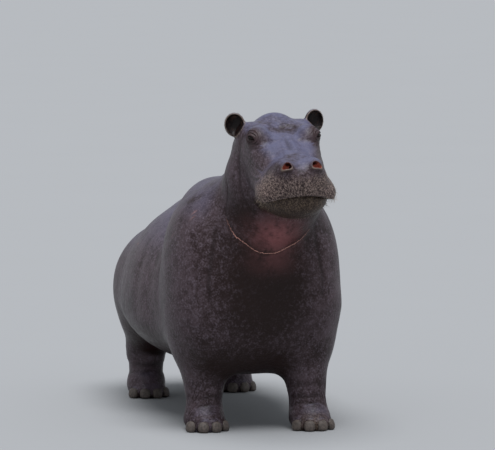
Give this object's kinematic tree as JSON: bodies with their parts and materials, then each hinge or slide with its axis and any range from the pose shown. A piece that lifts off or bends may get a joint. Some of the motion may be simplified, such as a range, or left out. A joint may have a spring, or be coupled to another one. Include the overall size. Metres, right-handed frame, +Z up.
{
  "type": "hippopotamus",
  "caption": "Life-size still model of a common hippopotamus standing on all fours with its head raised and mouth closed.",
  "frame": {"origin": "on the floor under the middle of the animal's bounding box", "axes": "+Z up, the animal faces -Y with its tail at +Y, its right side is at -X"},
  "size_m": [1.0242, 2.6796, 1.7186],
  "materials": {
    "hide": "wet, slightly glossy, finely pebbled bare skin",
    "eye": "wet and clear",
    "hoof": "satin horn",
    "bristle": "short stiff pale hairs"
  },
  "bodies": {
    "root": {"head": "hide", "lower_jaw": "hide", "neck": "hide", "trunk": "hide", "tail": "hide", "ear_left": "hide", "ear_right": "hide", "leg_front_left": "hide", "leg_front_right": "hide", "leg_hind_left": "hide", "leg_hind_right": "hide", "eye_left": "eye", "eye_right": "eye", "hoof_front_left_1": "hoof", "hoof_front_left_2": "hoof", "hoof_front_left_3": "hoof", "hoof_front_left_4": "hoof", "hoof_front_right_1": "hoof", "hoof_front_right_2": "hoof", "hoof_front_right_3": "hoof", "hoof_front_right_4": "hoof", "hoof_hind_left_1": "hoof", "hoof_hind_left_2": "hoof", "hoof_hind_left_3": "hoof", "hoof_hind_left_4": "hoof", "hoof_hind_right_1": "hoof", "hoof_hind_right_2": "hoof", "hoof_hind_right_3": "hoof", "hoof_hind_right_4": "hoof"}
  },
  "joints": []
}
